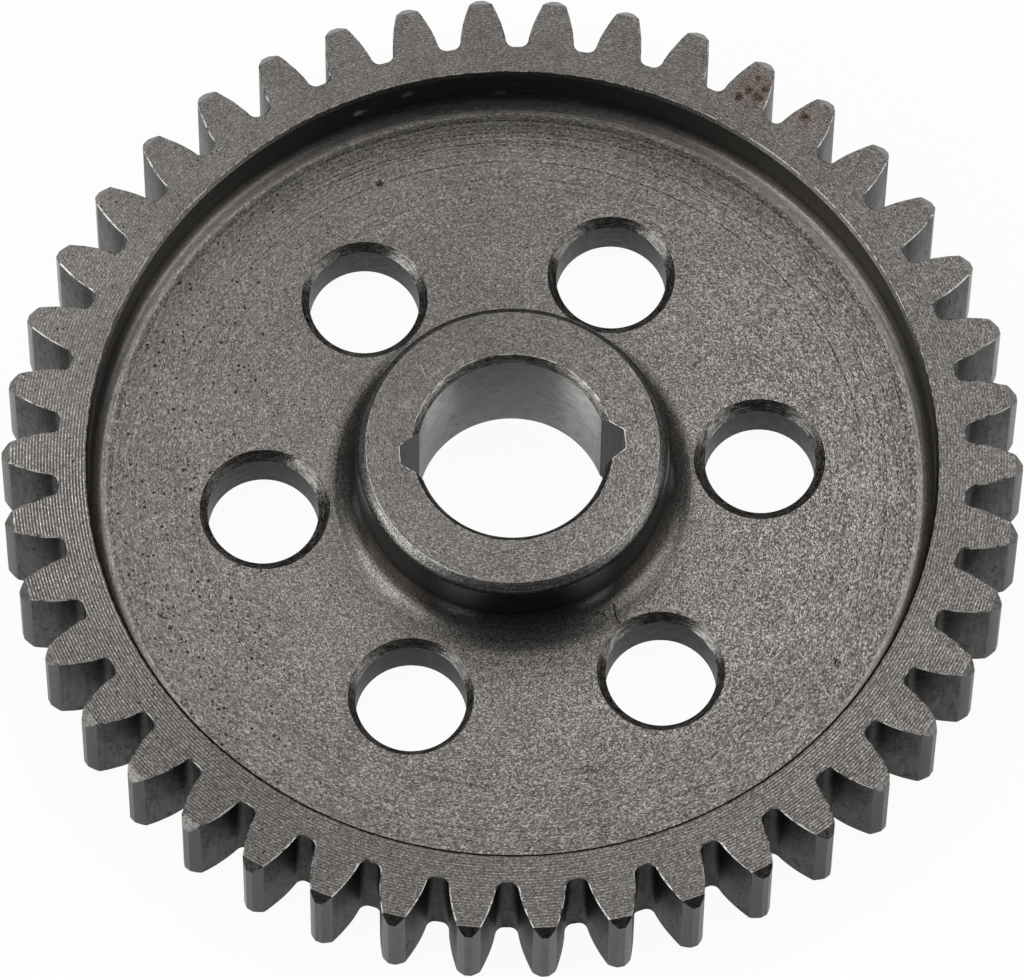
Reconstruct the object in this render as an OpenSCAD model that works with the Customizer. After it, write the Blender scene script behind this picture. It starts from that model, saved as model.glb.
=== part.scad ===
// Spur gear wheel for a transmission, turned and hobbed from one piece of steel.
// The origin is on the axis at the flat back face; +Z points to the hub's end face.
// +X runs along the two keyways. All sizes are in millimetres.

/* [Teeth] */
// Number of teeth
tooth_count = 42; // [40:2:46]
// Module, the pitch diameter over the tooth count
gear_module = 2; // [1.9:0.05:2.1]
// Pressure angle of the involute flanks, degrees
pressure_angle = 20; // [19.5:0.25:22.5]
// Tooth height above the pitch circle, in modules
addendum_factor = 1; // [0.95:0.01:1.05]
// Tooth depth below the pitch circle, in modules
dedendum_factor = 1.42; // [1.3:0.02:1.44]
// Thinning of each tooth at the pitch circle, for backlash
tooth_thinning = 0.13; // [0.05:0.01:0.25]
// Radius between the flank and the root
root_fillet = 0.55; // [0.45:0.05:0.6]
// Bevel along both long edges of each tooth tip
tip_bevel = 0.67; // [0.3:0.01:0.7]
// Turned bevel at both ends of the tooth tips
end_bevel = 0.7; // [0.3:0.05:1]
// Angle from the keyways to the nearest tooth, degrees
tooth_phase = 3.24; // [0:0.01:8.56]

/* [Rim and web] */
// Width of the toothed rim along the axis
face_width = 10.6; // [10:0.1:12]
// Wall of the rim from the tooth roots to the recess
rim_wall = 2.36; // [2:0.02:3.6]
// Thickness of the web at the floor of the recess
web_thickness = 5; // [4:0.1:6.5]
// Radius between the recess floor and the rim
recess_fillet = 1.8; // [0.5:0.1:3]
// Small bevel at the rim's inner edge
recess_bevel = 0.2; // [0.1:0.05:0.4]

/* [Lightening holes] */
// Number of holes through the web
hole_count = 6; // [4:1:8]
// Diameter of each hole
hole_d = 9.6; // [7:0.1:10.4]
// Diameter of the circle the holes lie on
hole_circle_d = 43.3; // [42:0.1:46]
// Bevel at the recess end of each hole
hole_bevel = 0.65; // [0.2:0.05:0.8]
// Bevel at the back end of each hole
hole_back_bevel = 0.3; // [0.1:0.05:0.5]
// Angle from the keyways to the first hole, degrees
hole_phase = 1.7; // [0:0.1:20]

/* [Hub] */
// Outside diameter of the hub
hub_d = 27; // [25:0.5:28]
// Height of the hub above the rim face
hub_rise = 2.55; // [1.5:0.05:6]
// Bevel at the hub's outer edge
hub_bevel = 0.85; // [0.3:0.05:1.2]
// Radius between the hub and the web
hub_fillet = 3; // [1:0.1:3.4]
// Diameter of the bore
bore_d = 16.3; // [14:0.1:18]
// Bevel at both ends of the bore
bore_bevel = 0.45; // [0.2:0.05:0.8]

/* [Keyways] */
// Depth of each keyway outside the bore wall
key_depth = 1.55; // [1:0.05:2]
// Width of each keyway at the bore wall
key_mouth_w = 3.9; // [3.5:0.1:4.4]
// Width of each keyway at its floor corners
key_floor_w = 2.1; // [1.6:0.1:2.6]
// Bevel in the floor corners of each keyway
key_corner = 0.28; // [0.1:0.02:0.4]

/* [Hidden] */
$fn = 96;
flank_steps = 5;
fillet_steps = 4;
spare = 1;
pitch_r = gear_module * tooth_count / 2;
base_r = pitch_r * cos(pressure_angle);
tip_r = pitch_r + addendum_factor * gear_module;
root_r = pitch_r - dedendum_factor * gear_module;
recess_r = root_r - rim_wall;
hub_r = hub_d / 2;
bore_r = bore_d / 2;
hole_r = hole_d / 2;
hub_top = face_width + hub_rise;
tooth_step = 360 / tooth_count;

// Angle between the start of the involute and its point at radius r
function involute(r) = tan(acos(base_r / r)) * 180 / PI - acos(base_r / r);

// Half of a tooth's thickness on the pitch circle, as an angle
pitch_half = (PI * gear_module / 2 - tooth_thinning) / 2 / pitch_r * 180 / PI;

// Half of a tooth's thickness at radius r, as an angle
function half_angle(r) = pitch_half + involute(pitch_r) - involute(r);

function polar(r, a) = [r * cos(a), r * sin(a)];
function as_polar(p) = [norm(p), atan2(p[1], p[0])];

// The root fillet touches the flank where the flank's normal meets its centre
fillet_centre_r = root_r + root_fillet;
normal_run = sqrt(max(0.04, pow(fillet_centre_r, 2) - pow(base_r, 2)));
flank_run = max(0.02, normal_run - root_fillet);
flank_start_r = sqrt(pow(base_r, 2) + pow(flank_run, 2));
contact_a = half_angle(flank_start_r) - acos(base_r / flank_start_r);
fillet_centre_a = contact_a + atan2(normal_run, base_r);
fillet_centre = polar(fillet_centre_r, fillet_centre_a);
bevel_r = tip_r - tip_bevel;
tip_half = half_angle(bevel_r) - tip_bevel / bevel_r * 180 / PI;

// Turn of the fillet arc, from the flank's tangent point to the root circle
arc_from = contact_a - 90;
arc_to = fillet_centre_a - 180;

// One side of a tooth, tip to root, as radius and angle from the tooth's centre
tooth_side = concat(
    [[tip_r, tip_half]],
    [for (i = [0 : flank_steps])
        let (r = bevel_r + (flank_start_r - bevel_r) * i / flank_steps) [r, half_angle(r)]],
    [for (i = [1 : fillet_steps])
        let (a = arc_from + (arc_to - arc_from) * i / fillet_steps)
        as_polar(fillet_centre + polar(root_fillet, a))]
);
side_last = len(tooth_side) - 1;

// Outline of all the teeth
tooth_outline = [
    for (k = [0 : tooth_count - 1], s = [-1, 1], i = [0 : side_last])
        let (p = tooth_side[s < 0 ? side_last - i : i])
        polar(p[0], tooth_phase + k * tooth_step + s * p[1])
];

// A concave corner of the given radius, filling the corner at the origin
module corner(r) {
    difference() {
        square(r);
        translate([r, r]) circle(r);
    }
}

// Half section of the turned blank with its hub and bore
module blank_section() {
    polygon([
        [bore_r, bore_bevel],
        [bore_r + bore_bevel, 0],
        [tip_r - end_bevel, 0],
        [tip_r, end_bevel],
        [tip_r, face_width - end_bevel],
        [tip_r - end_bevel, face_width],
        [recess_r + recess_bevel, face_width],
        [recess_r, face_width - recess_bevel],
        [recess_r, web_thickness],
        [hub_r, web_thickness],
        [hub_r, hub_top - hub_bevel],
        [hub_r - hub_bevel, hub_top],
        [bore_r + bore_bevel, hub_top],
        [bore_r, hub_top - bore_bevel]
    ]);
    translate([hub_r, web_thickness]) corner(hub_fillet);
    translate([recess_r, web_thickness]) mirror([1, 0]) corner(recess_fillet);
}

// Turned blank cut to the outline of the teeth
module toothed_blank() {
    intersection() {
        rotate_extrude() blank_section();
        translate([0, 0, -spare]) linear_extrude(hub_top + 2 * spare) polygon(tooth_outline);
    }
}

// One lightening hole with a bevel at each end
module lightening_hole() {
    translate([0, 0, -spare]) cylinder(h = web_thickness + 2 * spare, r = hole_r);
    translate([0, 0, web_thickness - hole_bevel])
        cylinder(h = hole_bevel + spare, r1 = hole_r, r2 = hole_r + hole_bevel + spare);
    translate([0, 0, -spare])
        cylinder(h = hole_back_bevel + spare, r1 = hole_r + hole_back_bevel + spare, r2 = hole_r);
}

// One keyway with flared sides, along +X
module keyway() {
    floor_r = bore_r + key_depth;
    mouth = key_mouth_w / 2;
    corner_w = key_floor_w / 2;
    translate([0, 0, -spare]) linear_extrude(hub_top + 2 * spare) polygon([
        [bore_r * 0.8, -mouth],
        [bore_r, -mouth],
        [floor_r - key_corner, -corner_w],
        [floor_r, key_corner - corner_w],
        [floor_r, corner_w - key_corner],
        [floor_r - key_corner, corner_w],
        [bore_r, mouth],
        [bore_r * 0.8, mouth]
    ]);
}

// The finished gear wheel
module gear() {
    color([0.47, 0.455, 0.44]) difference() {
        toothed_blank();
        for (k = [0 : hole_count - 1])
            rotate(hole_phase + k * 360 / hole_count)
                translate([hole_circle_d / 2, 0, 0]) lightening_hole();
        for (a = [0, 180]) rotate(a) keyway();
    }
}

gear();
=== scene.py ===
import math

import bpy
from mathutils import Matrix, Vector, noise
from mathutils.geometry import delaunay_2d_cdt


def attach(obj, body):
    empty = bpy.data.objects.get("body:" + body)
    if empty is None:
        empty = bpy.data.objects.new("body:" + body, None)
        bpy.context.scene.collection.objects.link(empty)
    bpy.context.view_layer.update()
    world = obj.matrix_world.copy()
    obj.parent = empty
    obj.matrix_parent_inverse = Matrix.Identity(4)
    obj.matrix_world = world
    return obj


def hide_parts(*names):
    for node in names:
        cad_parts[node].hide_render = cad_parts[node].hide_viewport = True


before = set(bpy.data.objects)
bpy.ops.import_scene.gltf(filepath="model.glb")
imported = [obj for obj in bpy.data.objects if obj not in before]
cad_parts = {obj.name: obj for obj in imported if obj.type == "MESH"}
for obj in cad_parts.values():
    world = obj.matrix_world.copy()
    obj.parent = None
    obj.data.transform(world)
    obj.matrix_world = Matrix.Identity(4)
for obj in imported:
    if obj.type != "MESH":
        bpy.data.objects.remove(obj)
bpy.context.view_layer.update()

# Sizes of the gear in millimetres. Most are those of the part's source; the root fillet, tip land, recess,
# hole bevels and the bore's upper bevel follow the photograph more closely.
TEETH = 42
MODULE = 2.0
PITCH_R = MODULE * TEETH / 2
PRESSURE = math.radians(20)
TOOTH_PHASE = math.radians(3.24)
THINNING = 0.13
ROOT_R = 39.16
ROOT_FILLET = 0.75
FACE_W = 10.6
WEB_T = 5.0

# Tooth tips, a hair inside the solid's: half the land's width, and how far the bevels beside it swell
TIP_R = 43.999
TIP_LAND_HALF = 0.29
TIP_SWELL = 0.035

# Turned bevel at the ends of the tips, its steepness at the upper ends, and the least of it that is cut
END_BEVEL = 0.7
END_STEEP = 1.1
BEVEL_R = TIP_R - END_BEVEL
LEAST_BEVEL = 0.02

# Worn edge along the flanks: mean width and slope; rounding of the lower ends as shares of their height
FLANK_EDGE_W = 0.1
FLANK_EDGE_SLOPE = 0.6
LOWER_ROUND_OUT = 0.13
LOWER_ROUND_UP = 0.37

# Recess: wall, fillet, a gentle lead down to the web, bevel and burred edge
RECESS_R = 36.5
RECESS_ROUND = 1.35
RECESS_LEAD = 0.95
RECESS_LEAD_SLOPE = math.radians(6)
RECESS_BEVEL = 0.3
RECESS_EDGE_W = 0.05
RECESS_EDGE_H = 0.03

# Lightening holes; each upper bevel is cut by hand: its outer radius, and how far it lies off centre along
# the photograph's level direction
HOLE_R = 4.8
HOLE_CIRCLE_R = 21.65
HOLE_PHASE = math.radians(1.7)
HOLE_BEVEL = 0.65
HOLE_BEVEL_SWELL = 0.02
HOLE_BACK_BEVEL = 0.3
HOLE_BEVELS = ((5.66, -0.04), (5.56, 0.0), (5.50, 0.03), (5.60, 0.12), (5.42, -0.02), (5.52, -0.05))

# Hub: the fillet's own rings end at the foot, and the web's face takes up the rest of it
HUB_R = 13.5
HUB_TOP = 13.15
HUB_BEVEL = 0.85
HUB_ROUND = 1.7
HUB_EDGE_W = 0.07
HUB_EDGE_H = 0.03
HUB_FILLET = 3.0
HUB_FOOT_R = 15.7

# Bore and keyways; widths of the keyways are halves
BORE_R = 8.15
BORE_BEVEL = 0.45
BORE_TOP_BEVEL = 0.52
BORE_TOP_DEEP = 0.7
BORE_TOP_SWELL = 0.05
BORE_BURR_W = 0.06
BORE_BURR_H = 0.02
KEY_DEPTH = 1.55
KEY_MOUTH = 1.95
KEY_CORNER_W = 1.05
KEY_CORNER = 0.28
KEY_CORNER_ROUND = (0.08, 0.12)

# Steps of the mesh along arcs and around the axis
FLANK_STEPS = 10
ROOT_STEPS = 6
BEVEL_STEPS = 6
RECESS_STEPS = 15
LEAD_STEPS = 5
FILLET_STEPS = 20
HUB_ROUND_STEPS = 10
RECESS_AROUND = 504
HUB_AROUND = 288
HOLE_AROUND = 96
BORE_HALF_AROUND = 90
SHARP_ANGLE = math.radians(18)

# Angle from the photograph's level direction to the keyways
VIEW_TURN = math.radians(5.6)

# Camera fitted to the photograph's edges: height angle, roll, where the rim face's centre lies from it
# (right, down, ahead, in millimetres), and the focal length in pixels
CAMERA_HEIGHT = math.radians(66.926)
CAMERA_ROLL = math.radians(0.946)
CAMERA_TO_CENTRE = Vector((0.032, -2.573, 1068.268))
FOCAL_PIXELS = 12409.95
IMAGE_W = 1024.0
SENSOR_W = 36.0

# Soft boxes as (name, place, size in metres, radiance, where it faces): a large one over the far side,
# then one high and one low at the left and right
LIGHTS = (
    ("box_back", (0, 520, 1000), (1.3, 0.75), 2.0, (0, 520, 0)),
    ("box_over_left", (-470, -110, 900), (0.4, 0.45), 1.3, (0, 0, 0)),
    ("box_over_right", (560, 20, 900), (0.45, 0.55), 0.75, (0, 0, 0)),
    ("box_left", (-615, -236, 300), (0.52, 0.5), 2.6, (0, 0, 0)),
    ("box_right", (638, -159, 285), (0.46, 0.46), 1.7, (0, 0, 0)),
)
FILL_LIGHT = 0.06

# Floor in metres; it lies just below the back face, so that the two don't flicker through each other
FLOOR_HALF = 4.0
FLOOR_DROP = 0.00003

# Zones of the turned faces: where the hub's face ends and the rim's begins, and the middle radius of each
HUB_FACE_R = 12.62
RIM_FACE_R = 36.7
HUB_MEAN_R = 10.0
WEB_MEAN_R = 26.0
RIM_MEAN_R = 40.0

# Spiral feed mark on the rim: pitch, start angle, how strongly it shows by the angle around the gear in
# degrees (a painted glint), and the sharpness and mean of its crests
FEED = 0.271
FEED_START = 2.85
FEED_GLINT = ((-180, 1.0), (-150, 0.6), (-125, 0.33), (-75, 0.28), (-48, 0.62), (0, 0.25), (30, 0.12),
              (125, 0.12), (155, 0.22), (170, 0.55), (180, 1.0))
FEED_SHARP = 3.0
FEED_MEAN = 0.3125

# Web: strength of its uneven rings by radius, deeper grooves as (radius, strength) with their width and drift,
# and the pitch of the close lines at the far side
RING_STRENGTH = ((8, 0.3), (13, 0.3), (16, 0.45), (17.5, 0.6), (20, 0.45), (26, 0.6), (31, 0.65),
                 (32.5, 0.95), (34.6, 0.95), (36, 0.3), (44, 0.2))
WEB_GROOVES = ((28.95, 0.35), (30.62, 0.7), (32.42, 1.0), (33.42, 0.5), (34.55, 0.7))
GROOVE_W = 0.1
GROOVE_DRIFT = -0.05
FAR_PITCH = 0.38

# Levels: the faces' grain and brightness by radius, the rim's painted sheen by the angle around the gear in
# degrees, and the flanks' painted shade by radius, darker towards the roots
GRAIN_STRENGTH = ((8, 0.72), (13, 0.72), (13.5, 1.0), (27, 1.0), (30, 0.88), (36.6, 0.83), (36.8, 0.68),
                  (44, 0.68))
FACE_LEVEL = ((8, 0.88), (13, 0.88), (13.5, 1.0), (27, 0.99), (29, 0.955), (36.6, 0.95), (36.8, 0.8),
              (44, 0.8))
RIM_PAINTED_SHEEN = ((-180, 0.86), (-160, 0.45), (-135, 0.0), (-90, 0.5), (-45, 0.7), (0, 0.36), (45, 0.12),
             (90, 0.2), (135, 0.33), (160, 0.6), (180, 0.86))
# Painted shade: the flanks darken towards the root
FLANK_PAINTED_SHADE = ((39, 0.55), (40, 0.65), (41.4, 0.95), (44, 1.0))

# Single marks: scratches as (from, to, width), pits and chips as (place, size, strength), rust as
# (x, y, size), painted glints as (place, size)
FILLET_MARKS = (
    ((7.77, -12.23, 5.77), (7.84, -13.03, 5.29), 0.13),
    ((7.84, -13.03, 5.29), (8.25, -13.86, 5.03), 0.13),
    ((6.32, -12.91, 5.86), (6.98, -13.11, 5.49), 0.11),
)
DARK_MARKS = (
    ((7.84, -13.03, 5.29), (8.25, -13.86, 5.03), 0.13),
    ((-31.4, -9.65, WEB_T), (-30.75, -10.15, WEB_T), 0.13),
)
LIGHT_MARKS = (
    ((-7.25, 8.35, HUB_TOP), (-6.8, 6.9, HUB_TOP), 0.08),
    ((-6.8, 6.9, HUB_TOP), (-5.15, 7.95, HUB_TOP), 0.08),
    ((-7.55, -9.25, HUB_TOP), (-4.75, -7.45, HUB_TOP), 0.07),
)
MARK_DEPTH = 0.8
HUB_GLINT = ((-8.9, 4.7, HUB_TOP), 0.4)
RIM_GLINT = ((-33.4, -21.6, FACE_W), 0.35)
WEB_PITS = (((-9.2, 29.35, WEB_T), 0.45, 1.0), ((26.4, -18.8, WEB_T), 0.5, 0.8))
WALL_CHIPS = (
    ((-10.56, 34.93, 7.9), 0.75, 1.0),
    ((-6.2, 35.97, 8.8), 0.6, 0.7),
    ((1.93, 36.45, 6.5), 0.9, 0.4),
)
RUST_STAINS = ((23.9, 33.4, 2.3), (28.1, 30.1, 1.1))
RUST_SPOTS = ((22.5, 32.6, 0.6), (24.3, 32.4, 0.8), (23.4, 33.2, 0.6), (24.8, 33.1, 0.65), (24.3, 34.3, 0.4),
              (28.0, 30.3, 0.6))


# Camera and lights, placed in the photograph's axes: right, away, and up from the rim face, in millimetres

def from_photo(x, y, z):
    """A point in metres in the part's frame."""
    c, s = math.cos(-VIEW_TURN), math.sin(-VIEW_TURN)
    return Vector((c * x - s * y, s * x + c * y, z + FACE_W)) * 0.001


def make_camera():
    """Camera fitted to the photograph's edges."""
    ahead = Vector((0, math.cos(CAMERA_HEIGHT), -math.sin(CAMERA_HEIGHT)))
    level = Vector((1, 0, 0))
    drop = Vector((0, -math.sin(CAMERA_HEIGHT), -math.cos(CAMERA_HEIGHT)))
    right = level * math.cos(CAMERA_ROLL) - drop * math.sin(CAMERA_ROLL)
    down = level * math.sin(CAMERA_ROLL) + drop * math.cos(CAMERA_ROLL)
    place = -(right * CAMERA_TO_CENTRE.x + down * CAMERA_TO_CENTRE.y + ahead * CAMERA_TO_CENTRE.z)
    turn = Matrix.Rotation(-VIEW_TURN, 3, "Z")
    rot = Matrix((turn @ right, turn @ -down, turn @ -ahead)).transposed()
    data = bpy.data.cameras.new("camera")
    data.sensor_fit = "HORIZONTAL"
    data.sensor_width = SENSOR_W
    data.lens = FOCAL_PIXELS * SENSOR_W / IMAGE_W
    data.clip_start = 0.05
    data.clip_end = 20.0
    cam = bpy.data.objects.new("camera", data)
    bpy.context.scene.collection.objects.link(cam)
    cam.matrix_world = Matrix.Translation(from_photo(*place)) @ rot.to_4x4()
    bpy.context.scene.camera = cam


def area_light(name, at, size, radiance, target):
    """A soft box that faces a target."""
    data = bpy.data.lights.new(name, "AREA")
    data.shape = "RECTANGLE"
    data.size, data.size_y = size
    data.energy = radiance * math.pi * size[0] * size[1]
    lamp = bpy.data.objects.new(name, data)
    bpy.context.scene.collection.objects.link(lamp)
    lamp.location = from_photo(*at)
    aim = from_photo(*target) - lamp.location
    lamp.rotation_euler = aim.to_track_quat("-Z", "Y").to_euler()


def make_world():
    """White to look at, dim as a fill light."""
    world = bpy.data.worlds.new("world")
    bpy.context.scene.world = world
    world.use_nodes = True
    tree = world.node_tree
    tree.nodes.clear()
    path = tree.nodes.new("ShaderNodeLightPath")
    back = tree.nodes.new("ShaderNodeBackground")
    back.inputs["Color"].default_value = rgb(1, 1, 1)
    fill = tree.nodes.new("ShaderNodeBackground")
    fill.inputs["Color"].default_value = rgb(1, 1, 1)
    fill.inputs["Strength"].default_value = FILL_LIGHT
    blend = tree.nodes.new("ShaderNodeMixShader")
    out = tree.nodes.new("ShaderNodeOutputWorld")
    tree.links.new(path.outputs["Is Camera Ray"], blend.inputs[0])
    tree.links.new(fill.outputs[0], blend.inputs[1])
    tree.links.new(back.outputs[0], blend.inputs[2])
    tree.links.new(blend.outputs[0], out.inputs[0])


# Materials

def rgb(r, g, b):
    """A colour for a node's socket."""
    return (r, g, b, 1.0)


class Nodes:
    """Short ways to write a material's nodes; lengths are in millimetres."""

    def __init__(self, name):
        self.mat = bpy.data.materials.new(name)
        self.mat.use_nodes = True
        self.tree = self.mat.node_tree
        self.tree.nodes.clear()
        co = self.add("ShaderNodeTexCoord").outputs["Object"]
        self.p = self.add("ShaderNodeVectorMath", {0: co, "Scale": 1000.0}, operation="SCALE").outputs[0]
        self.x, self.y, self.z = self.add("ShaderNodeSeparateXYZ", {0: self.p}).outputs
        flat = self.add("ShaderNodeCombineXYZ", {0: self.x, 1: self.y}).outputs[0]
        self.r = self.vec("LENGTH", flat)
        self.turn = self.math("ARCTAN2", self.y, self.x)

    def add(self, kind, ins=None, **props):
        """A new node with its inputs set or linked."""
        n = self.tree.nodes.new(kind)
        for k, v in props.items():
            setattr(n, k, v)
        for k, v in (ins or {}).items():
            self.put(n.inputs[k], v)
        return n

    def put(self, socket, v):
        """Link a socket to another one, or set its value."""
        if isinstance(v, bpy.types.NodeSocket):
            self.tree.links.new(v, socket)
        else:
            socket.default_value = v

    def math(self, op, a, b=0.0, c=0.0):
        return self.add("ShaderNodeMath", {0: a, 1: b, 2: c}, operation=op).outputs[0]

    def chain(self, op, values):
        """One operation over any number of values."""
        out = values[0]
        for v in values[1:]:
            out = self.math(op, out, v)
        return out

    def total(self, *values):
        return self.chain("ADD", values)

    def times(self, *values):
        return self.chain("MULTIPLY", values)

    def most(self, *values):
        return self.chain("MAXIMUM", values)

    def off_mean(self, v, amount, mean=0.5):
        """A 0 to 1 value shifted to lie about zero, times an amount."""
        return self.math("MULTIPLY_ADD", v, amount, -mean * amount)

    def speckle(self, v, sharp, amount):
        """An even spread of values made into few bright ones among many dark ones, about zero."""
        return self.off_mean(self.math("POWER", v, sharp), amount, 1.0 / (sharp + 1.0))

    def without(self, mark, share):
        """1, less a share where the mark is."""
        return self.math("MULTIPLY_ADD", mark, -share, 1.0)

    def crest(self, phase, sharp):
        """A wave from 0 to 1 with narrow crests."""
        return self.math("POWER", self.math("MULTIPLY_ADD", self.math("SINE", phase), 0.5, 0.5), sharp)

    def vec(self, op, a, b=(0, 0, 0)):
        n = self.add("ShaderNodeVectorMath", {0: a, 1: b}, operation=op)
        return n.outputs["Value" if op in ("LENGTH", "DISTANCE", "DOT_PRODUCT") else "Vector"]

    def scaled(self, v, x, y, z=1.0):
        return self.vec("MULTIPLY", v, (x, y, z))

    def span(self, v, a, b, c=0.0, d=1.0, smooth=True):
        """A value that goes from c to d while v goes from a to b."""
        ins = {"Value": v, "From Min": a, "From Max": b, "To Min": c, "To Max": d}
        n = self.add("ShaderNodeMapRange", ins)
        n.interpolation_type = "SMOOTHSTEP" if smooth else "LINEAR"
        return n.outputs[0]

    def noise(self, v, scale, detail=2.0, rough=0.5, kind="3D"):
        ins = {"Vector": v, "Scale": scale, "Detail": detail, "Roughness": rough}
        return self.add("ShaderNodeTexNoise", ins, noise_dimensions=kind).outputs["Fac"]

    def cells(self, v):
        """Two random values for each small cell, and the distance from its middle."""
        n = self.add("ShaderNodeTexVoronoi", {"Vector": v, "Scale": 1.0}, voronoi_dimensions="2D")
        c = self.add("ShaderNodeSeparateColor", {0: n.outputs["Color"]})
        return c.outputs[0], c.outputs[1], n.outputs["Distance"]

    def mix(self, f, a, b):
        """Colour a where f is 0, colour b where it is 1."""
        n = self.add("ShaderNodeMix", data_type="RGBA")
        self.put(n.inputs[0], f)
        self.put(n.inputs[6], a)
        self.put(n.inputs[7], b)
        return n.outputs[2]

    def grey(self, f):
        return self.add("ShaderNodeCombineColor", {0: f, 1: f, 2: f}).outputs[0]

    def tint(self, colour, f):
        """A colour times a factor."""
        n = self.add("ShaderNodeMix", data_type="RGBA", blend_type="MULTIPLY")
        n.inputs[0].default_value = 1.0
        self.put(n.inputs[6], colour)
        self.put(n.inputs[7], self.grey(f))
        return n.outputs[2]

    def curve(self, v, stops):
        """A value read off straight lines between (place, value) stops; values from 0 to 1."""
        lo, hi = stops[0][0], stops[-1][0]
        ramp = self.add("ShaderNodeValToRGB", {0: self.span(v, lo, hi, smooth=False)})
        elements = ramp.color_ramp.elements
        while len(elements) > 1:
            elements.remove(elements[-1])
        for i, (place, value) in enumerate(stops):
            share = (place - lo) / (hi - lo)
            e = elements[0] if i == 0 else elements.new(share)
            e.position = share
            e.color = (value, value, value, 1)
        return ramp.outputs[0]

    def degrees(self):
        """The angle around the axis in degrees."""
        return self.times(self.turn, 180 / math.pi)

    def around(self, shift):
        """A slow wave, once around the axis."""
        return self.math("COSINE", self.math("ADD", self.turn, shift))

    def turned(self, lean=-1.0):
        """Place along a turned profile that leans in or out, and the run around the axis."""
        past_hub = self.math("GREATER_THAN", self.r, HUB_FACE_R)
        on_rim = self.math("GREATER_THAN", self.r, RIM_FACE_R)
        mean_r = self.total(HUB_MEAN_R, self.times(past_hub, WEB_MEAN_R - HUB_MEAN_R),
                            self.times(on_rim, RIM_MEAN_R - WEB_MEAN_R))
        along = self.math("MULTIPLY_ADD", self.z, lean, self.r)
        return self.add("ShaderNodeCombineXYZ", {0: along, 1: self.times(self.turn, mean_r)}).outputs[0]

    def groove(self, r, at, width):
        """1 along a ring around the axis, fading to 0 on both sides."""
        return self.span(self.math("ABSOLUTE", self.math("SUBTRACT", r, at)), 0.0, width, 1.0, 0.0)

    def spot(self, at, size, rag, core=0.4):
        """1 at a place, fading to 0 beyond its core with a ragged edge."""
        d = self.total(self.vec("DISTANCE", self.p, at), self.off_mean(rag, 2.2 * size))
        return self.span(d, size * core, size, 1.0, 0.0)

    def stroke(self, a, b, width, rag):
        """1 along a straight mark, fading to 0 beside it and broken by noise."""
        run = Vector(b) - Vector(a)
        rel = self.vec("SUBTRACT", self.p, a)
        t = self.vec("DOT_PRODUCT", rel, tuple(run / run.length_squared))
        t = self.add("ShaderNodeMath", {0: t, 1: 1.0}, operation="MULTIPLY", use_clamp=True).outputs[0]
        near = self.add("ShaderNodeVectorMath", {0: tuple(run), "Scale": t}, operation="SCALE").outputs[0]
        d = self.total(self.vec("DISTANCE", rel, near), self.off_mean(rag, width * 1.5))
        return self.span(d, width * 0.4, width, 1.0, 0.0)

    def finish(self, colour, rough, height, more=None):
        """Metal with a bump, from a height in millimetres; more holds further inputs of the shader."""
        bump = self.add("ShaderNodeBump", {"Strength": 1.0, "Distance": 0.001, "Height": height})
        ins = {"Base Color": colour, "Metallic": 1.0, "Roughness": rough, "Normal": bump.outputs[0]}
        ins.update(more or {})
        shader = self.add("ShaderNodeBsdfPrincipled", ins)
        self.add("ShaderNodeOutputMaterial", {"Surface": shader.outputs[0]})
        return self.mat


def feed_mark(k, rim, soft):
    """Spiral mark on the rim, one pitch for each turn, with a painted glint that changes around the gear; also
    gives that glint.
    """
    phase = k.total(k.times(k.r, 2 * math.pi / FEED), k.times(k.turn, -1.0), FEED_START, k.times(soft, 0.5))
    # clear is a painted glint: how strongly the mark shows by the angle around the gear
    clear = k.curve(k.degrees(), FEED_GLINT)
    return k.times(k.off_mean(k.crest(phase, FEED_SHARP), 1.0, FEED_MEAN), rim, clear), clear


def web_rings(k, soft, patch):
    """Uneven rings, a few deeper grooves, and close lines at the far side of the web."""
    ins = {"W": k.times(k.r, 2.6), "Scale": 1.0, "Detail": 3.0, "Roughness": 0.65}
    rings = k.add("ShaderNodeTexNoise", ins, noise_dimensions="1D").outputs["Fac"]
    rings = k.times(k.off_mean(rings, 1.0), k.curve(k.r, RING_STRENGTH))
    track = k.total(k.r, k.times(k.turn, GROOVE_DRIFT))
    cuts = [k.times(k.groove(track, at, GROOVE_W), deep) for at, deep in WEB_GROOVES]
    cut = k.times(k.most(*cuts), k.span(patch, 0.3, 0.48),
                  k.span(k.y, -30.0, 8.0, 0.5, 1.0), k.span(k.x, -30.0, -6.0, 0.3, 1.0))
    phase = k.total(k.times(k.r, 2 * math.pi / FAR_PITCH), k.times(soft, 3.0))
    line = k.times(k.crest(phase, 5.0), k.span(soft, 0.38, 0.6),
                   k.span(k.r, 31.0, 31.8), k.span(k.r, 34.2, 34.8, 1.0, 0.0), k.span(k.y, 24.0, 31.0))
    return rings, cut, line


def dark_marks(k, rim, sand):
    """Small pits at the left of the web and on the far right teeth, then single pits and scratches."""
    pick, _, far = k.cells(k.scaled(k.p, 2.2, 2.2))
    left = k.times(k.span(k.x, -14.0, -26.0, 0.45, 1.0), k.without(rim, 0.4))
    rusty = k.times(k.span(k.x, 10.0, 22.0), k.span(k.y, 14.0, 26.0), rim)
    pit_r = k.times(k.math("POWER", pick, 7.0), k.most(left, k.times(rusty, 0.6)), 0.38)
    pit = k.span(k.math("SUBTRACT", k.total(far, k.off_mean(sand, 0.5)), pit_r), -0.05, 0.03, 1.0, 0.0)
    return k.most(pit, *[k.times(k.spot(at, size, sand), deep) for at, size, deep in WEB_PITS],
                  *[k.stroke(a, b, width, sand) for a, b, width in DARK_MARKS])


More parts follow.
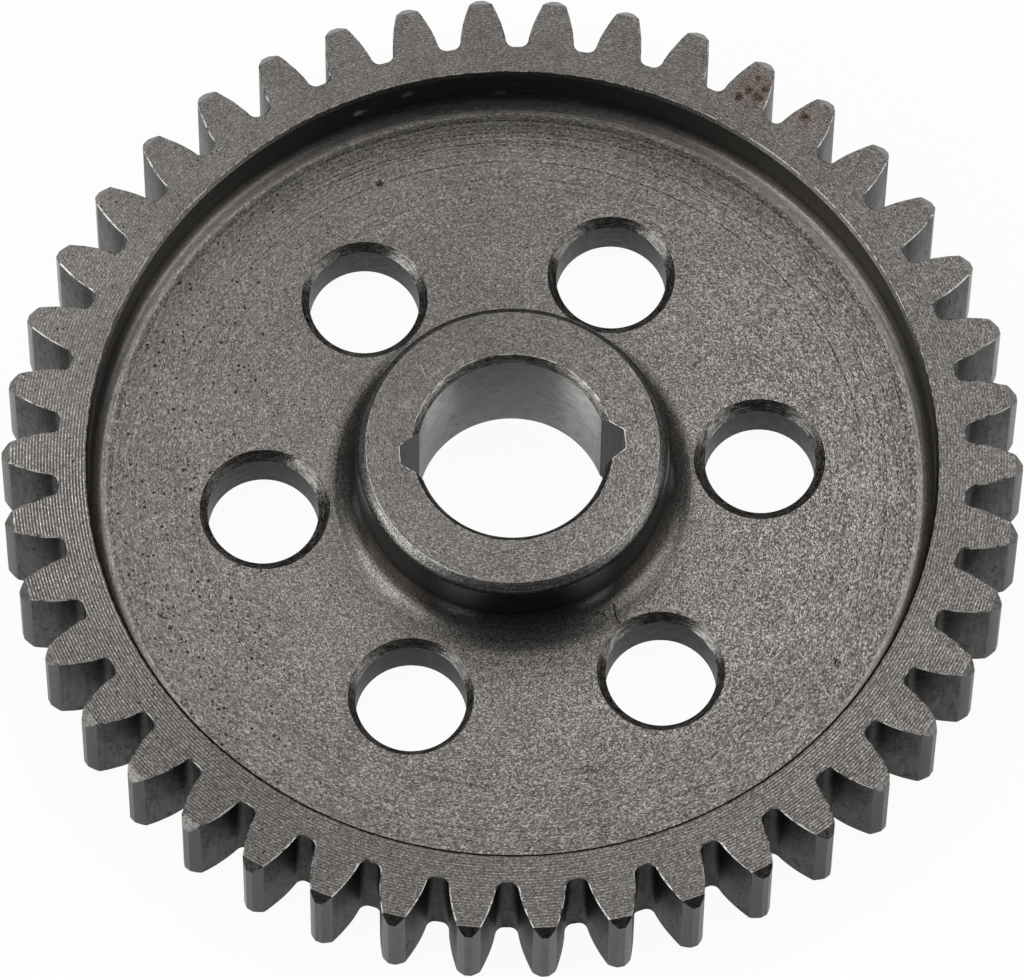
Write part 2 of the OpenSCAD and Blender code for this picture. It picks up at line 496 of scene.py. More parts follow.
def face_colour(k, soft, sand, patch):
    """Cool grey with warm patches, and rust on two teeth; also gives where the rust is."""
    rag = k.math("MULTIPLY_ADD", soft, 0.5, k.times(sand, 0.5))
    stain = k.most(*[k.spot((x, y, FACE_W), size, rag) for x, y, size in RUST_STAINS])
    rust = k.most(*[k.spot((x, y, FACE_W), size, rag, 0.0) for x, y, size in RUST_SPOTS])
    warm = k.times(k.span(soft, 0.5, 0.75), k.span(patch, 0.5, 0.6), 0.5)
    base = k.mix(k.span(patch, 0.35, 0.6), rgb(0.184, 0.173, 0.162), rgb(0.168, 0.159, 0.15))
    base = k.mix(warm, base, rgb(0.17, 0.139, 0.13))
    base = k.mix(k.times(stain, 0.8), base, rgb(0.175, 0.13, 0.112))
    base = k.mix(k.times(rust, 0.9), base, rgb(0.075, 0.045, 0.03))
    return base, rust


def painted_face_sheen(k, rim):
    """Brightness of the faces by radius, times a painted sheen that changes around the gear."""
    # Painted sheen: the rim's by angle, a wave twice around the gear, and a wave once around on the web and
    # hub
    on_rim = k.times(rim, k.math("MULTIPLY_ADD", k.curve(k.degrees(), RIM_PAINTED_SHEEN), 0.45, -0.125))
    inside = k.times(k.around(0.95), 0.12, k.without(rim, 1.0))
    painted_sheen_twice = k.times(k.math("COSINE", k.times(k.turn, 2.0)), 0.06)
    return k.times(k.curve(k.r, FACE_LEVEL), k.total(0.965, on_rim, painted_sheen_twice, inside))


def face_steel():
    """Faced steel: a spiral feed mark on the rim, rings on the web, grain, pits, rust and scratches, with
    painted glints and a painted sheen.
    """
    k = Nodes("faced_steel")
    q = k.turned()
    glint, dull, _ = k.cells(k.scaled(q, 12.5, 7.0))
    sand = k.noise(k.scaled(q, 8.5, 4.6), 1.0, 2.0, 0.65, "2D")
    soft = k.noise(q, 1.1, 2.0, 0.6, "2D")
    patch = k.noise(k.p, 0.16, 3.0, 0.6, "2D")
    rim = k.math("GREATER_THAN", k.r, RIM_FACE_R)
    feed, clear = feed_mark(k, rim, soft)
    # Bright crests of the feed mark and the rubbed outer edge, both scaled by the painted glint
    spark = k.times(feed, k.math("MULTIPLY_ADD", glint, 1.5, 0.25), k.span(sand, 0.3, 0.6, 0.5, 1.2))
    rubbed = k.times(k.span(k.r, 43.08, 43.25), k.span(soft, 0.4, 0.55), clear)
    rings, cut, line = web_rings(k, soft, patch)
    # Light scratches, and two painted glints on the hub's and the rim's faces
    scratch_and_glint = k.most(k.spot(*HUB_GLINT, glint), k.spot(*RIM_GLINT, sand),
                     *[k.stroke(a, b, width, sand) for a, b, width in LIGHT_MARKS])
    grain = k.times(k.curve(k.r, GRAIN_STRENGTH), k.span(k.y, 5.0, 40.0, 1.05, 0.8),
                    k.math("MULTIPLY_ADD", k.around(0.5), 0.22, 1.0))
    fine = k.times(k.speckle(glint, 2.4, 1.55), grain)
    level = k.total(1.0, fine, k.off_mean(sand, 0.85), k.off_mean(soft, 0.3), k.times(spark, 1.95),
                    k.times(rings, 0.8), k.times(cut, -0.75), k.times(line, -0.6), k.times(scratch_and_glint, 0.6),
                    rubbed)
    level = k.times(k.math("MAXIMUM", level, 0.12), painted_face_sheen(k, rim),
                    k.without(dark_marks(k, rim, sand), MARK_DEPTH))
    height = k.total(k.times(feed, 0.008), k.times(rings, 0.022), k.times(sand, 0.0145))
    base, rust = face_colour(k, soft, sand, patch)
    rough = k.total(k.times(dull, 0.2), 0.31, k.times(rust, 0.15))
    return k.finish(k.tint(base, level), rough, height)


def flank_steel(name, colour, upper):
    """Hobbed flanks and roots: dark, streaked along the teeth and blotted, with painted shade towards root and
    top; upper is the top's shade level.
    """
    k = Nodes(name)
    blot = k.noise(k.scaled(k.p, 1.2, 1.2, 0.8), 1.0, 4.0, 0.7)
    sway = k.times(blot, 1.2)
    bent = k.vec("ADD", k.p, k.add("ShaderNodeCombineXYZ", {0: sway, 1: sway}).outputs[0])
    streak = k.noise(k.scaled(bent, 3.0, 3.0, 0.35), 1.0, 3.0, 0.7)
    grit = k.noise(k.p, 6.0, 2.0, 0.6)
    # Painted shade: darker towards the root and towards the top of the tooth
    painted_tooth_shade = k.times(k.curve(k.r, FLANK_PAINTED_SHADE), k.span(k.z, 3.0, 9.8, 1.15, upper))
    level = k.total(1.0, k.off_mean(streak, 2.2), k.off_mean(blot, 2.2), k.off_mean(grit, 1.2))
    level = k.times(k.math("MAXIMUM", level, 0.2), k.span(blot, 0.3, 0.46, 0.5, 1.0), painted_tooth_shade)
    rough = k.math("MULTIPLY_ADD", blot, 0.3, 0.26)
    height = k.total(k.times(streak, 0.035), k.times(blot, 0.04))
    # The grazing reflection is dimmed with the same painted shade
    glance = k.grey(k.span(level, 0.2, 1.15, 0.7, 1.0, smooth=False))
    return k.finish(k.tint(colour, level), rough, height, {"Specular Tint": glance})


def tip_steel(name, colour, rough_at):
    """Bevels, lands and ends of the tooth tips, and keyways: fine marks along the axis and dark specks."""
    k = Nodes(name)
    streak = k.noise(k.scaled(k.p, 4.0, 4.0, 0.25), 1.0, 2.0, 0.6)
    soft = k.noise(k.p, 2.0, 3.0, 0.7)
    level = k.total(1.0, k.off_mean(streak, 1.3), k.off_mean(soft, 1.4))
    level = k.times(level, k.span(soft, 0.28, 0.42, 0.45, 1.0))
    rough = k.math("MULTIPLY_ADD", soft, 0.25, rough_at)
    return k.finish(k.tint(colour, level), rough, k.total(k.times(streak, 0.012), k.times(soft, 0.015)))


def turned_steel(name, colour, rough_at, grainy, ring_mm=0.2, lean=-1.0, streaky=0.9, glance=1.0, marks=()):
    """Turned walls, fillets and bevels: rings, with the faces' grain; glance dims grazing light."""
    k = Nodes(name)
    q = k.turned(lean)
    glint, dull, _ = k.cells(k.scaled(q, 10.0, 6.5))
    ring = k.noise(k.scaled(q, 1.0 / ring_mm, 0.06), 1.0, 2.0, 0.6, "2D")
    sand = k.noise(k.scaled(q, 4.5, 2.7), 1.0, 2.0, 0.6, "2D")
    cloud = k.noise(k.p, 0.5, 2.0, 0.6)
    level = k.total(1.0, k.speckle(glint, 2.5, 1.5 * grainy), k.off_mean(ring, streaky),
                    k.off_mean(cloud, 0.5), k.off_mean(sand, 0.5 * grainy))
    level = k.math("MAXIMUM", level, 0.15)
    for a, b, width in marks:
        level = k.times(level, k.without(k.stroke(a, b, width, sand), MARK_DEPTH))
    rough = k.math("MULTIPLY_ADD", dull, 0.16, rough_at)
    height = k.total(k.times(ring, 0.01), k.times(sand, 0.018 * grainy))
    return k.finish(k.tint(colour, level), rough, height, {"Specular Tint": rgb(glance, glance, glance)})


def recess_wall_steel():
    """Wall of the recess, with three small light chips."""
    k = Nodes("recess_wall_steel")
    ring = k.noise(k.scaled(k.turned(), 4.0, 0.06), 1.0, 2.0, 0.6, "2D")
    soft = k.noise(k.p, 2.2, 3.0, 0.6)
    chip = k.most(*[k.times(k.spot(at, size, soft), bright) for at, size, bright in WALL_CHIPS])
    level = k.total(1.0, k.off_mean(ring, 0.9), k.off_mean(soft, 0.8))
    colour = k.mix(chip, k.tint(rgb(0.15, 0.142, 0.13), level), rgb(0.5, 0.49, 0.46))
    rough = k.total(k.times(soft, 0.2), 0.28, k.times(chip, 0.25))
    height = k.total(k.times(ring, 0.012), k.times(soft, 0.014))
    return k.finish(colour, rough, height, {"Specular Tint": rgb(0.85, 0.85, 0.85)})


def hole_steel(name, colour, rough_at, dull, clean):
    """Drilled walls and hand-cut bevels: rings at even heights, and painted shade towards the wall's top; dull
    and clean bound the grazing light.
    """
    k = Nodes(name)
    ring = k.noise(k.scaled(k.p, 0.9, 0.9, 13.0), 1.0, 3.0, 0.7)
    blot = k.noise(k.scaled(k.p, 1.6, 1.6, 2.6), 1.0, 3.0, 0.65)
    level = k.total(1.0, k.off_mean(ring, 4.0), k.off_mean(blot, 2.0))
    level = k.math("MAXIMUM", level, 0.2)
    rough = k.math("MULTIPLY_ADD", blot, 0.2, rough_at)
    height = k.total(k.times(ring, 0.05), k.times(blot, 0.04))
    # Painted shade: the grazing reflection is darker towards the top of the hole's wall
    deep = k.times(level, k.span(k.z, 0.5, 4.4, 1.25, 0.75))
    glance = k.grey(k.span(deep, 0.3, 1.5, dull, clean, smooth=False))
    return k.finish(k.tint(colour, level), rough, height, {"Specular Tint": glance})


def bore_steel():
    """Bored wall: fine rings that spread light up and down the bore, with short scuffs around it."""
    k = Nodes("bore_steel")
    q = k.turned()
    ring = k.noise(k.scaled(q, 6.0, 0.08), 1.0, 3.0, 0.7, "2D")
    scuff = k.noise(k.scaled(q, 2.4, 0.8), 1.0, 4.0, 0.75, "2D")
    cloud = k.noise(k.p, 0.3, 2.0, 0.5)
    level = k.total(1.0, k.off_mean(ring, 0.3), k.off_mean(scuff, 1.6), k.off_mean(cloud, 0.4))
    rough = k.math("MULTIPLY_ADD", scuff, 0.2, 0.39)
    height = k.total(k.times(ring, 0.006), k.times(scuff, 0.02))
    tangent = k.add("ShaderNodeTangent", direction_type="RADIAL", axis="Z").outputs[0]
    return k.finish(k.tint(rgb(0.37, 0.367, 0.361), level), rough, height,
                    {"Anisotropic": 1.0, "Anisotropic Rotation": 0.25, "Tangent": tangent})


def edge_steel(name, bright, low, high):
    """Thin broken edges: rubbed bright in places, dull in others."""
    k = Nodes(name)
    rub = k.noise(k.p, 1.3, 4.0, 0.7)
    colour = k.mix(k.span(rub, low, high), rgb(0.12, 0.115, 0.108), bright)
    return k.finish(colour, k.math("MULTIPLY_ADD", rub, 0.2, 0.38), k.times(rub, 0.01))


def floor_white():
    """White floor that reads as a white background, keeps the object's shadow and has painted shade in
    reflections in front; open from below.
    """
    k = Nodes("floor_white")
    path = k.add("ShaderNodeLightPath").outputs
    mirrored = k.most(path["Is Glossy Ray"], path["Is Transmission Ray"])
    # Painted shade: in reflections the floor's white glow is weaker in front of the gear
    share = k.span(k.y, -45.0, 45.0, 0.45, 1.0, smooth=False)
    white_with_front_shade = k.most(k.times(path["Is Camera Ray"], 0.95), k.times(mirrored, share))
    matt = k.add("ShaderNodeBsdfDiffuse", {"Color": rgb(0.94, 0.94, 0.94)})
    white = k.add("ShaderNodeEmission", {"Color": rgb(1, 1, 1), "Strength": 1.0})
    upper = k.add("ShaderNodeMixShader", {0: white_with_front_shade, 1: matt.outputs[0], 2: white.outputs[0]})
    below = k.add("ShaderNodeNewGeometry").outputs["Backfacing"]
    gap = k.add("ShaderNodeBsdfTransparent")
    both = k.add("ShaderNodeMixShader", {0: below, 1: upper.outputs[0], 2: gap.outputs[0]})
    k.add("ShaderNodeOutputMaterial", {"Surface": both.outputs[0]})
    return k.mat


def make_materials():
    """One material for each kind of surface on the gear."""
    return {
        "face": face_steel(),
        # upper: level of the painted shade at the top of the flanks and roots
        "flank": flank_steel("flank_steel", rgb(0.052, 0.05, 0.048), upper=0.8),
        "root": flank_steel("root_steel", rgb(0.075, 0.073, 0.07), upper=0.75),
        "bevel": tip_steel("tip_bevel_steel", rgb(0.04, 0.039, 0.038), rough_at=0.14),
        "land": tip_steel("tip_land_steel", rgb(0.075, 0.074, 0.072), rough_at=0.2),
        "cone": tip_steel("tip_end_steel", rgb(0.18, 0.174, 0.164), rough_at=0.12),
        "edge": edge_steel("tooth_edge_steel", rgb(0.8, 0.79, 0.77), low=0.38, high=0.56),
        "root_edge": edge_steel("root_edge_steel", rgb(0.5, 0.49, 0.47), low=0.42, high=0.62),
        "wall": recess_wall_steel(),
        "recess_edge": edge_steel("recess_edge_steel", rgb(0.8, 0.79, 0.77), low=0.44, high=0.58),
        "recess_bevel": turned_steel("recess_bevel_steel", rgb(0.1, 0.095, 0.088), rough_at=0.28, grainy=0.4,
                                     lean=1.0, glance=0.3),
        "recess_fillet": turned_steel("recess_fillet_steel", rgb(0.19, 0.179, 0.167), rough_at=0.3,
                                      grainy=0.3, lean=1.0),
        "recess_foot": turned_steel("recess_foot_steel", rgb(0.2, 0.19, 0.178), rough_at=0.3, grainy=0.6,
                                    lean=1.0),
        "fillet": turned_steel("fillet_steel", rgb(0.195, 0.184, 0.172), rough_at=0.27, grainy=0.9,
                               marks=FILLET_MARKS),
        # The hub's wall and shoulder are darker copies of the hub's turned steel: painted shade low on the hub
        "hub_wall": turned_steel("hub_wall_steel", rgb(0.06, 0.058, 0.054), rough_at=0.36, grainy=0.3),
        "hub_shoulder": turned_steel("hub_shoulder_steel", rgb(0.105, 0.102, 0.097), rough_at=0.28,
                                     grainy=0.9, ring_mm=0.12, streaky=1.3),
        "hub_bevel": turned_steel("hub_bevel_steel", rgb(0.24, 0.234, 0.223), rough_at=0.28, grainy=1.1,
                                  ring_mm=0.12, streaky=1.8, glance=0.6),
        "hub_edge": edge_steel("hub_edge_steel", rgb(0.75, 0.74, 0.72), low=0.3, high=0.55),
        "hole": hole_steel("hole_steel", rgb(0.024, 0.023, 0.022), rough_at=0.26, dull=0.7, clean=1.0),
        "hole_bevel": hole_steel("hole_bevel_steel", rgb(0.22, 0.212, 0.2), rough_at=0.14, dull=0.25,
                                 clean=0.6),
        "bore": bore_steel(),
        "bore_bevel": hole_steel("bore_bevel_steel", rgb(0.26, 0.25, 0.234), rough_at=0.14, dull=0.2,
                                 clean=0.5),
        "key": tip_steel("keyway_steel", rgb(0.045, 0.045, 0.043), rough_at=0.35),
        "key_edge": edge_steel("key_edge_steel", rgb(0.85, 0.84, 0.82), low=0.4, high=0.56),
    }


# Mesh of the gear

def within(p, loop):
    """Whether a point lies inside a closed loop."""
    inside = False
    q = loop[-1]
    for r in loop:
        if (r.y > p.y) != (q.y > p.y) and p.x < (q.x - r.x) * (p.y - r.y) / (q.y - r.y) + r.x:
            inside = not inside
        q = r
    return inside


class Skin:
    """Collects rings of points and the faces between them, in millimetres."""

    def __init__(self, mats):
        self.mats = mats
        self.pts = []
        self.faces = []
        self.slots = []
        self.smooth = []

    def ring(self, pts):
        """Adds points and gives their numbers."""
        start = len(self.pts)
        self.pts.extend(Vector(p) for p in pts)
        return list(range(start, len(self.pts)))

    def face(self, idx, mat, smooth):
        self.faces.append(idx)
        self.slots.append(self.mats.index(mat))
        self.smooth.append(smooth)

    def strip(self, a, b, mat, smooth=True):
        """Faces from ring a to ring b; mat is one name or a list with one for each side."""
        n = len(a)
        for i in range(n):
            j = (i + 1) % n
            self.face((a[i], a[j], b[j], b[i]), mat if isinstance(mat, str) else mat[i], smooth)

    def level(self, outer, inner, mat, up, loose=(), smooth=False):
        """A nearly level face between one outer ring and any number of inner rings, through loose points."""
        loops = [outer] + inner
        ids, edges, owner = [], [], {i: -1 for i in loose}
        for n, ring in enumerate(loops):
            start = len(ids)
            ids.extend(ring)
            owner.update((i, n) for i in ring)
            edges.extend((start + i, start + (i + 1) % len(ring)) for i in range(len(ring)))
        ids.extend(loose)
        out = delaunay_2d_cdt([self.pts[i].xy for i in ids], edges, [], 0, 1e-7, True)
        names = [ids[o[0]] for o in out[3]]
        for f in out[2]:
            t = [names[i] for i in f]
            a, b, c = (self.pts[i].xy for i in t)
            homes = {owner[i] for i in t}
            n = homes.pop()
            if not homes and n >= 0:
                # All three corners are on one ring, so the face may lie outside the wanted area
                if within((a + b + c) / 3, [self.pts[i].xy for i in loops[n]]) != (n == 0):
                    continue
            ccw = (b - a).cross(c - a) > 0
            self.face(t if ccw == up else t[::-1], mat, smooth)

    def build(self, name, materials):
        """The finished object, in metres."""
        mesh = bpy.data.meshes.new(name)
        mesh.from_pydata([p * 0.001 for p in self.pts], [], self.faces)
        for m in self.mats:
            mesh.materials.append(materials[m])
        mesh.polygons.foreach_set("material_index", self.slots)
        mesh.polygons.foreach_set("use_smooth", self.smooth)
        mesh.update()
        mesh.set_sharp_from_angle(angle=SHARP_ANGLE)
        obj = bpy.data.objects.new(name, mesh)
        bpy.context.scene.collection.objects.link(obj)
        return obj


def polar(r, a):
    """A flat point from its radius and angle."""
    return Vector((r * math.cos(a), r * math.sin(a)))


def circle(r, z, n, centre=(0, 0)):
    """Points around a circle at one height."""
    angles = [2 * math.pi * i / n for i in range(n)]
    return [(centre[0] + r * math.cos(a), centre[1] + r * math.sin(a), z) for a in angles]


def arc(cx, cz, r, a0, a1, steps):
    """Points along an arc, from one angle to another in degrees."""
    angles = [math.radians(a0 + (a1 - a0) * i / steps) for i in range(steps + 1)]
    return [(cx + r * math.cos(a), cz + r * math.sin(a)) for a in angles]


def bulged(a, b, rise, steps):
    """Points from a to b that swell to the left of that line, without the ends."""
    a, b = Vector(a), Vector(b)
    d = (b - a).normalized()
    side = Vector((-d.y, d.x))
    return [a.lerp(b, i / steps) + side * rise * 4 * (i / steps) * (1 - i / steps) for i in range(1, steps)]


def revolve(s, profile, mats, n):
    """Rings along a profile of (radius, height); gives the first and last ring."""
    rings = [s.ring(circle(r, z, n)) for r, z in profile]
    for i in range(len(rings) - 1):
        s.strip(rings[i], rings[i + 1], mats[i])
    return rings[0], rings[-1]


def tooth_side():
    """One side of a tooth, tip to root, as (radius, angle from the middle, kind of what follows)."""
    base = PITCH_R * math.cos(PRESSURE)

    def involute(r):
        return math.tan(math.acos(base / r)) - math.acos(base / r)

    def half(r):
        """Half a tooth's thickness, as an angle."""
        return (math.pi * MODULE / 2 - THINNING) / 2 / PITCH_R + involute(PITCH_R) - involute(r)

    # The root fillet touches the flank where the flank's normal meets its centre
    centre_r = ROOT_R + ROOT_FILLET
    normal = math.sqrt(centre_r ** 2 - base ** 2)
    start_r = math.sqrt(base ** 2 + (normal - ROOT_FILLET) ** 2)
    contact = half(start_r) - math.acos(base / start_r)
    centre_a = contact + math.atan2(normal, base)
    centre = polar(centre_r, centre_a)
    tip_a = TIP_LAND_HALF / TIP_R
    side = [(TIP_R, tip_a, "bevel")]
    for p in bulged(polar(TIP_R, tip_a), polar(BEVEL_R, half(BEVEL_R)), -TIP_SWELL, BEVEL_STEPS):
        side.append((p.length, math.atan2(p.y, p.x), "bevel"))
    for i in range(FLANK_STEPS + 1):
        r = BEVEL_R + (start_r - BEVEL_R) * i / FLANK_STEPS
        side.append((r, half(r), "flank"))
    a0, a1 = contact - math.pi / 2, centre_a - math.pi
    for i in range(1, ROOT_STEPS + 1):
        q = centre + ROOT_FILLET * polar(1.0, a0 + (a1 - a0) * i / ROOT_STEPS)
        side.append((q.length, math.atan2(q.y, q.x), "root"))
    return side


def tooth_outline():
    """Corners of all the teeth as (radius, angle), and the kind of each side that follows a corner."""
    side = tooth_side()
    pts, kinds = [], []
    for t in range(TEETH):
        c = TOOTH_PHASE + t * 2 * math.pi / TEETH
        for i in range(len(side) - 1, -1, -1):
            pts.append((side[i][0], c - side[i][1]))
            kinds.append("land" if i == 0 else side[i - 1][2])
        for r, a, kind in side:
            pts.append((r, c + a))
            kinds.append(kind)
        pts.append((ROOT_R, c + math.pi / TEETH))
        kinds.append("root")
    return pts, kinds


def wear(x, y, seed, low=0.5, high=1.5):
    """A slowly changing factor along an edge."""
    n = noise.noise(Vector((x * 0.9, y * 0.9, seed)))
    return low + (high - low) * min(1.0, max(0.0, 0.5 + n))


def build_rim(s):
    """Teeth with worn edges; gives the top and back outline rings."""
    pts, kinds = tooth_outline()
    n = len(pts)
    flat = [polar(r, a) for r, a in pts]

    def ends(seed, steep):
        """Inner ring and drop of each outline point: a thin edge along flanks, the turned bevel at tips."""
        inner, drop = [], []
        for i in range(n):
            p, over = flat[i], pts[i][0] - BEVEL_R
            if over > LEAST_BEVEL:
                inner.append(p.normalized() * BEVEL_R)
                drop.append(over * steep)
                continue
            t = ((p - flat[i - 1]).normalized() + (flat[(i + 1) % n] - p).normalized()).normalized()
            w = FLANK_EDGE_W * wear(p.x, p.y, seed)
            inner.append(p + Vector((-t.y, t.x)) * w)
            drop.append(FLANK_EDGE_SLOPE * w)
        return inner, drop

    inner, drop = ends(1.0, END_STEEP)
    top_inner = s.ring([(p.x, p.y, FACE_W) for p in inner])
    top_outer = s.ring([(p.x, p.y, FACE_W - d) for p, d in zip(flat, drop)])
    inner, drop = ends(5.0, 1.0)
    back_outer = s.ring([(p.x, p.y, d) for p, d in zip(flat, drop)])
    back_inner = s.ring([(p.x, p.y, 0.0) for p in inner])
    middle = [(p + q) / 2 + p.normalized() * LOWER_ROUND_OUT * d for p, q, d in zip(flat, inner, drop)]
    back_middle = s.ring([(p.x, p.y, LOWER_ROUND_UP * d) for p, d in zip(middle, drop)])
    ending = [{"land": "cone", "bevel": "cone", "flank": "edge", "root": "root_edge"}[k] for k in kinds]
    s.strip(top_outer, top_inner, ending, False)
    s.strip(back_outer, top_outer, kinds)
    s.strip(back_middle, back_outer, ending)
    s.strip(back_inner, back_middle, ending)
    return top_inner, back_inner


def keyed_ring(r, z, grow):
    """The bore's outline at one height, with the two keyways, and the kind of each side."""
    floor_r = BORE_R + KEY_DEPTH + grow
    corner_w = KEY_CORNER_W + grow
    slope = (KEY_MOUTH - KEY_CORNER_W) / (KEY_DEPTH - KEY_CORNER)

    # Where a keyway's side meets the circle, found by repeated steps
    u = r
    for _ in range(30):
        v = KEY_MOUTH + grow - slope * (u - BORE_R)
        u = math.sqrt(r * r - v * v)
    start = math.atan2(v, u)
    half = [(floor_r - KEY_CORNER, -corner_w),
            (floor_r - KEY_CORNER_ROUND[0], KEY_CORNER_ROUND[1] - corner_w),
            (floor_r, KEY_CORNER - corner_w)]
    notch = half + [(floor_r, 0.0)] + [(x, -y) for x, y in reversed(half)]
    n = BORE_HALF_AROUND
    pts, kinds = [], []
    for side in (1, -1):
        for x, y in notch:
            pts.append((side * x, side * y, z))
            kinds.append("key")
        for i in range(n + 1):
            a = start + (math.pi - 2 * start) * i / n
            pts.append((side * r * math.cos(a), side * r * math.sin(a), z))
            kinds.append("key" if i == n else "bore")
    return pts, kinds


def fillet_rise(x, y):
    """How far the hub's fillet lifts the web's face at a place."""
    run = HUB_R + HUB_FILLET - math.hypot(x, y)
    return HUB_FILLET - math.sqrt(HUB_FILLET ** 2 - run ** 2) if run > 0 else 0.0


def build_recess(s):
    """Burred edge, small bevel, wall, fillet and a lead down to the web; gives the top and floor rings."""
    lead_r = RECESS_R - RECESS_ROUND * (1 - math.sin(RECESS_LEAD_SLOPE))
    lead_z = WEB_T + 0.5 * math.tan(RECESS_LEAD_SLOPE) * RECESS_LEAD
    top = RECESS_R + RECESS_BEVEL
    prof = [(top, FACE_W), (top - RECESS_EDGE_W, FACE_W - RECESS_EDGE_H), (RECESS_R, FACE_W - RECESS_BEVEL)]
    prof += arc(RECESS_R - RECESS_ROUND, lead_z + RECESS_ROUND * math.cos(RECESS_LEAD_SLOPE), RECESS_ROUND,
                0, math.degrees(RECESS_LEAD_SLOPE) - 90, RECESS_STEPS)
    for i in range(LEAD_STEPS - 1, -1, -1):
        f = i / LEAD_STEPS
        prof.append((lead_r - RECESS_LEAD * (1 - f), WEB_T + (lead_z - WEB_T) * f * f))
    mats = ["recess_edge", "recess_bevel", "wall"] + ["recess_fillet"] * RECESS_STEPS
    mats += ["recess_foot"] + ["face"] * (LEAD_STEPS - 1)
    return revolve(s, prof, mats, RECESS_AROUND)


def build_hub(s):
    """Fillet, wall, rounded bevel and edge; gives the floor and top rings."""
    foot = math.degrees(math.acos((HUB_FOOT_R - HUB_R - HUB_FILLET) / HUB_FILLET))
    prof = arc(HUB_R + HUB_FILLET, WEB_T + HUB_FILLET, HUB_FILLET, -foot, -180, FILLET_STEPS)
    edge_z = HUB_TOP - HUB_EDGE_H
    top_a = math.degrees(math.acos(1 - HUB_BEVEL / HUB_ROUND))
    prof += arc(HUB_R - HUB_ROUND, edge_z - HUB_ROUND * math.sin(math.radians(top_a)), HUB_ROUND,
                0, top_a, HUB_ROUND_STEPS)
    prof += [(HUB_R - HUB_BEVEL - HUB_EDGE_W, HUB_TOP)]

    # Painted shade: the wall's dark copy of the hub's steel runs two steps up the rounded bevel, and a less
    # dark shoulder copy the next three
    mats = ["fillet"] * FILLET_STEPS + ["hub_wall"] * 3 + ["hub_shoulder"] * 3
    mats += ["hub_bevel"] * (HUB_ROUND_STEPS - 5) + ["hub_edge"]
    return revolve(s, prof, mats, HUB_AROUND)


def hole_places():
    """Centre of each lightening hole."""
    turns = [HOLE_PHASE + k * 2 * math.pi / len(HOLE_BEVELS) for k in range(len(HOLE_BEVELS))]
    return [(HOLE_CIRCLE_R * math.cos(a), HOLE_CIRCLE_R * math.sin(a)) for a in turns]


def build_holes(s):
    """Lightening holes with bevels that cut into the hub's fillet; gives the upper and back rings."""
    n = HOLE_AROUND
    bevel_z = WEB_T - HOLE_BEVEL
    uppers, backs = [], []
    for (cx, cy), (outer, off) in zip(hole_places(), HOLE_BEVELS):
        sx, sy = off * math.cos(VIEW_TURN), -off * math.sin(VIEW_TURN)
        flare = (outer - HOLE_R) / HOLE_BEVEL
        rows = [[] for _ in range(BEVEL_STEPS)]
        for i in range(n):
            a = 2 * math.pi * i / n

            # Where the bevel meets the web's face or the fillet, found by repeated steps
            rise = 0.0
            for _ in range(6):
                rho = outer + flare * rise
                rise = fillet_rise(cx + sx + rho * math.cos(a), cy + sy + rho * math.sin(a))
            upper = (rho, WEB_T + rise)
            side = [upper] + bulged(upper, (HOLE_R, bevel_z), HOLE_BEVEL_SWELL, BEVEL_STEPS)
            for row, (r, z) in zip(rows, side):
                f = (z - WEB_T + HOLE_BEVEL) / HOLE_BEVEL
                row.append((cx + sx * f + r * math.cos(a), cy + sy * f + r * math.sin(a), z))
        rows.append(circle(HOLE_R, bevel_z, n, (cx, cy)))
        rows.append(circle(HOLE_R, HOLE_BACK_BEVEL, n, (cx, cy)))
        rows.append(circle(HOLE_R + HOLE_BACK_BEVEL, 0.0, n, (cx, cy)))
        rings = [s.ring(row) for row in rows]
        for i in range(len(rings) - 1):
            s.strip(rings[i], rings[i + 1], "hole" if i == BEVEL_STEPS else "hole_bevel")
        uppers.append(rings[0])
        backs.append(rings[-1])
    return uppers, backs


def build_web(s, recess_floor, hub_floor, holes):
    """Web's face between the recess, the hub and the holes, with the outer part of the hub's fillet."""
    rings, spacing, clearance = 8, 0.1, 0.25
    loose = []
    for j in range(rings):
        for x, y, _ in circle(HUB_FOOT_R + spacing * (j + 1), 0.0, HUB_AROUND):
            gaps = [math.hypot(x - cx, y - cy) - outer
                    for (cx, cy), (outer, _) in zip(hole_places(), HOLE_BEVELS)]
            if min(gaps) > clearance:
                loose.append((x, y, WEB_T + fillet_rise(x, y)))
    s.level(recess_floor, [hub_floor] + holes, "face", True, s.ring(loose), True)


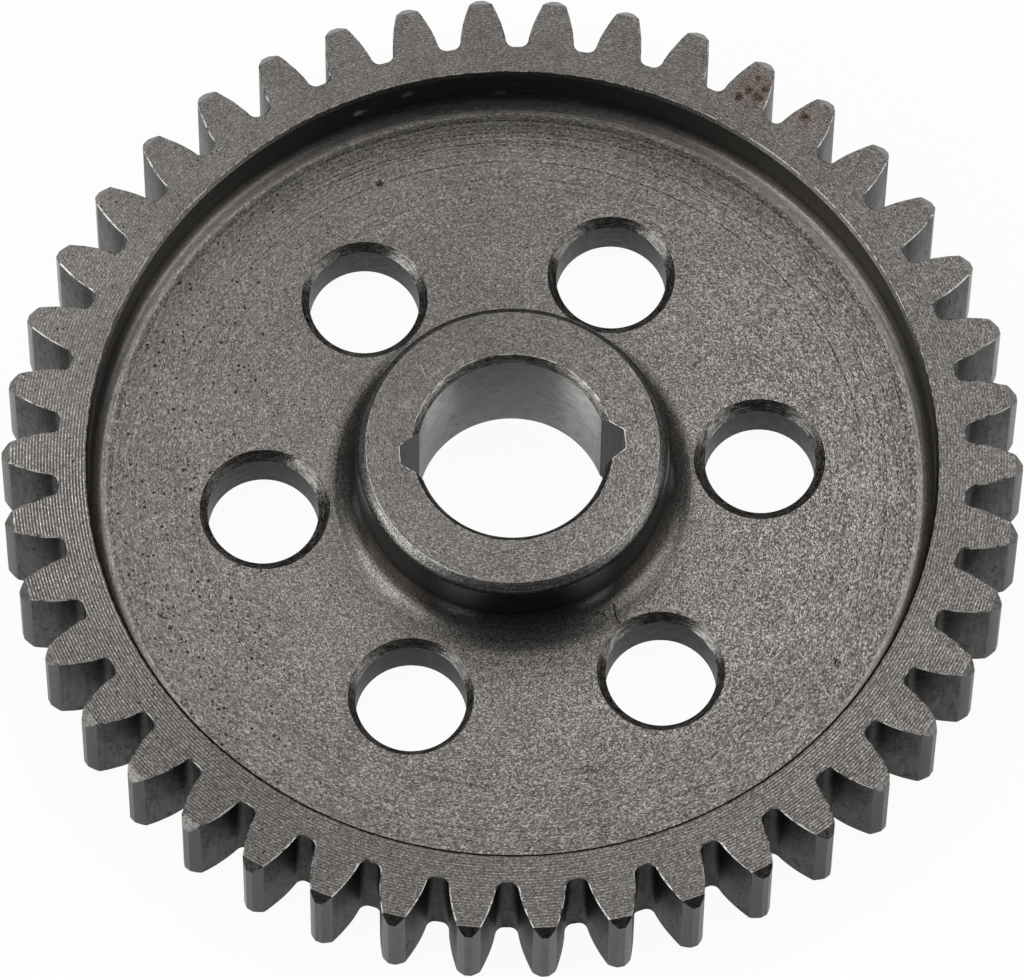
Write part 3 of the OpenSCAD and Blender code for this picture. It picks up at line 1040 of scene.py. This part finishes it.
def build_bore(s):
    """Bore with its bevels and keyways; gives the upper and back rings."""
    top_r = BORE_R + BORE_TOP_BEVEL
    low_z = HUB_TOP - BORE_TOP_DEEP
    prof = [(top_r + BORE_BURR_W, HUB_TOP, BORE_BURR_W), (top_r, HUB_TOP - BORE_BURR_H, 0.0)]
    prof += [(r, z, 0.0) for r, z in bulged((top_r, HUB_TOP), (BORE_R, low_z), -BORE_TOP_SWELL, BEVEL_STEPS)]
    prof += [(BORE_R, low_z, 0.0), (BORE_R, BORE_BEVEL, 0.0), (BORE_R + BORE_BEVEL, 0.0, 0.0)]
    rings = []
    for r, z, grow in prof:
        pts, kinds = keyed_ring(r, z, grow)
        rings.append(s.ring(pts))
    last = len(rings) - 1
    for i in range(last):
        key, round_part = "key", "bore_bevel"
        if i == 0:
            key, round_part = "key_edge", "key_edge"
        elif i == last - 2:
            round_part = "bore"
        s.strip(rings[i], rings[i + 1], [key if kind == "key" else round_part for kind in kinds])
    return rings[0], rings[-1]


def build_gear(materials):
    """The whole gear as one mesh."""
    s = Skin(list(materials))
    rim_top, rim_back = build_rim(s)
    recess_top, recess_floor = build_recess(s)
    hub_floor, hub_top = build_hub(s)
    holes, hole_backs = build_holes(s)
    bore_top, bore_back = build_bore(s)
    s.level(rim_top, [recess_top], "face", True)
    build_web(s, recess_floor, hub_floor, holes)
    s.level(hub_top, [bore_top], "face", True)
    s.level(rim_back, hole_backs + [bore_back], "face", False)
    return s.build("gear_wheel", materials)


def build_floor():
    """A large level square."""
    e, z = FLOOR_HALF, -FLOOR_DROP
    mesh = bpy.data.meshes.new("floor")
    mesh.from_pydata([(-e, -e, z), (e, -e, z), (e, e, z), (-e, e, z)], [], [(0, 1, 2, 3)])
    mesh.materials.append(floor_white())
    obj = bpy.data.objects.new("floor", mesh)
    bpy.context.scene.collection.objects.link(obj)
    return obj


make_camera()
gear = build_gear(make_materials())
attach(gear, "root")
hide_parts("gear")
floor = build_floor()
for light in LIGHTS:
    area_light(*light)
make_world()
bpy.context.scene.view_settings.view_transform = "Standard"
